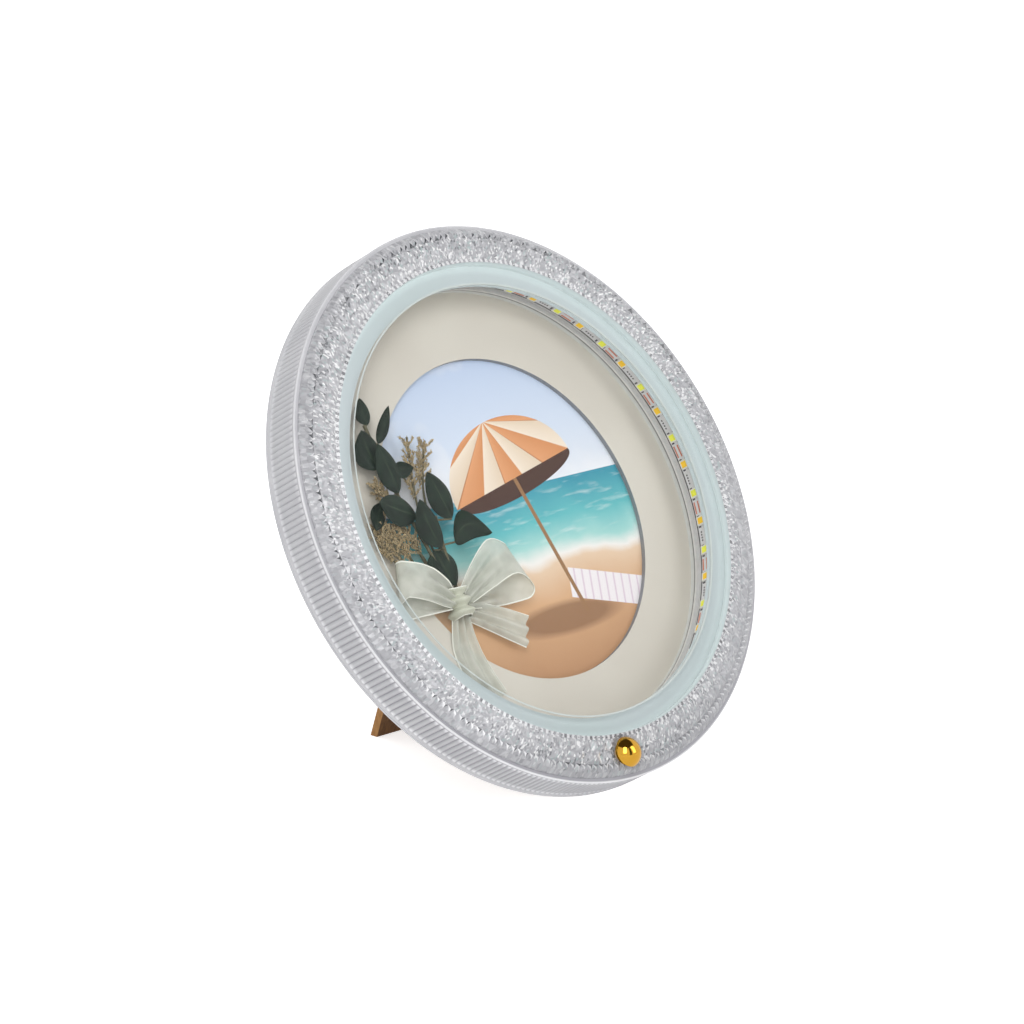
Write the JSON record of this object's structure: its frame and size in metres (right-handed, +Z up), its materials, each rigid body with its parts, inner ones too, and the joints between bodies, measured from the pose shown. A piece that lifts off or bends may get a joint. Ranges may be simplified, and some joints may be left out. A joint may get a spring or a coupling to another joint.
{
  "type": "round photo frame",
  "caption": "Round lit shadow-box photo frame with a reeded clear casing, a crystal-cut front ring, a domed button and a folding easel leg.",
  "frame": {"origin": "middle of the footprint box, on the floor that the frame stands on", "axes": "+Z up, the picture faces -Y and leans back, +X to the viewer's right"},
  "size_m": [0.1554, 0.0944, 0.1409],
  "materials": {
    "clear_plastic": "clear moulded",
    "clear_acrylic": "polished sheet",
    "frosted_film": "frosted",
    "white_plastic": "moulded",
    "steel": "plated",
    "tape": "white coated",
    "cool_lamp": "phosphor",
    "warm_lamp": "phosphor",
    "dark_plastic": "moulded",
    "mat": "smooth board",
    "print": "satin print",
    "fibreboard": "brown faced board",
    "gold": "polished",
    "circuit_board": "white solder mask",
    "cell": "foil pouch",
    "lead": "white sleeved wire",
    "leaf": "dried leaf",
    "grass": "dried seed heads",
    "ribbon": "sheer ribbon"
  },
  "bodies": {
    "frame": {"reeded_housing": "clear_plastic", "crystal_bezel": "clear_plastic", "window_ring": "clear_acrylic", "frosted_film": "frosted_film", "front_pane": "clear_acrylic", "lamp_tray": "white_plastic", "tray_screws": "steel", "led_tape": "tape", "cool_led_chips": "cool_lamp", "warm_led_chips": "warm_lamp", "tape_resistors": "dark_plastic", "tape_leads": "lead", "spacer_ring": "clear_acrylic", "mat_board": "mat", "photo_print": "print", "back_board": "fibreboard", "button_bush": "gold", "switch_body": "dark_plastic", "control_board": "circuit_board", "board_chips": "dark_plastic", "charge_inlet": "steel", "battery_cell": "cell", "battery_lead": "lead", "turn_button_screws": "steel", "hinge_plate": "steel", "hinge_pin": "steel", "plate_rivets": "steel", "eucalyptus_sprig_long": "leaf", "eucalyptus_sprig_short": "leaf", "grass_spikes": "grass", "ribbon_knot": "ribbon", "ribbon_loop_left": "ribbon", "ribbon_loop_right": "ribbon", "ribbon_tail_right": "ribbon", "ribbon_tail_long": "ribbon"},
    "stand": {"stand_leg": "fibreboard", "leg_hinge_leaf": "steel", "leg_rivets": "steel"},
    "button": {"button_dome": "gold", "button_stem": "steel", "switch_plunger": "dark_plastic"},
    "turn_button_1": {"turn_button_1": "steel"},
    "turn_button_2": {"turn_button_2": "steel"},
    "turn_button_3": {"turn_button_3": "steel"},
    "turn_button_4": {"turn_button_4": "steel"}
  },
  "joints": [
    {"name": "stand_fold", "type": "hinge", "parent": "frame", "child": "stand", "pos_m": [0, 0.01549, 0.08174], "axis": [1, 0, 0], "range_deg": [-49.5, 0]},
    {"name": "button_press", "type": "slide", "parent": "frame", "child": "button", "axis": [0, 0.8678, -0.497], "range_m": [0, 0.0008], "stiffness_N_per_m": 1500},
    {"name": "turn_button_1_swivel", "type": "hinge", "parent": "frame", "child": "turn_button_1", "pos_m": [0.04992, 0.03013, 0.11072], "axis": [0, 0.8678, -0.497], "range_deg": [-90, 90]},
    {"name": "turn_button_2_swivel", "type": "hinge", "parent": "frame", "child": "turn_button_2", "pos_m": [-0.04992, 0.03013, 0.11072], "axis": [0, 0.8678, -0.497], "range_deg": [-90, 90]},
    {"name": "turn_button_3_swivel", "type": "hinge", "parent": "frame", "child": "turn_button_3", "pos_m": [-0.04992, -0.01949, 0.02408], "axis": [0, 0.8678, -0.497], "range_deg": [-90, 90]},
    {"name": "turn_button_4_swivel", "type": "hinge", "parent": "frame", "child": "turn_button_4", "pos_m": [0.04992, -0.01949, 0.02408], "axis": [0, 0.8678, -0.497], "range_deg": [-90, 90]}
  ]
}
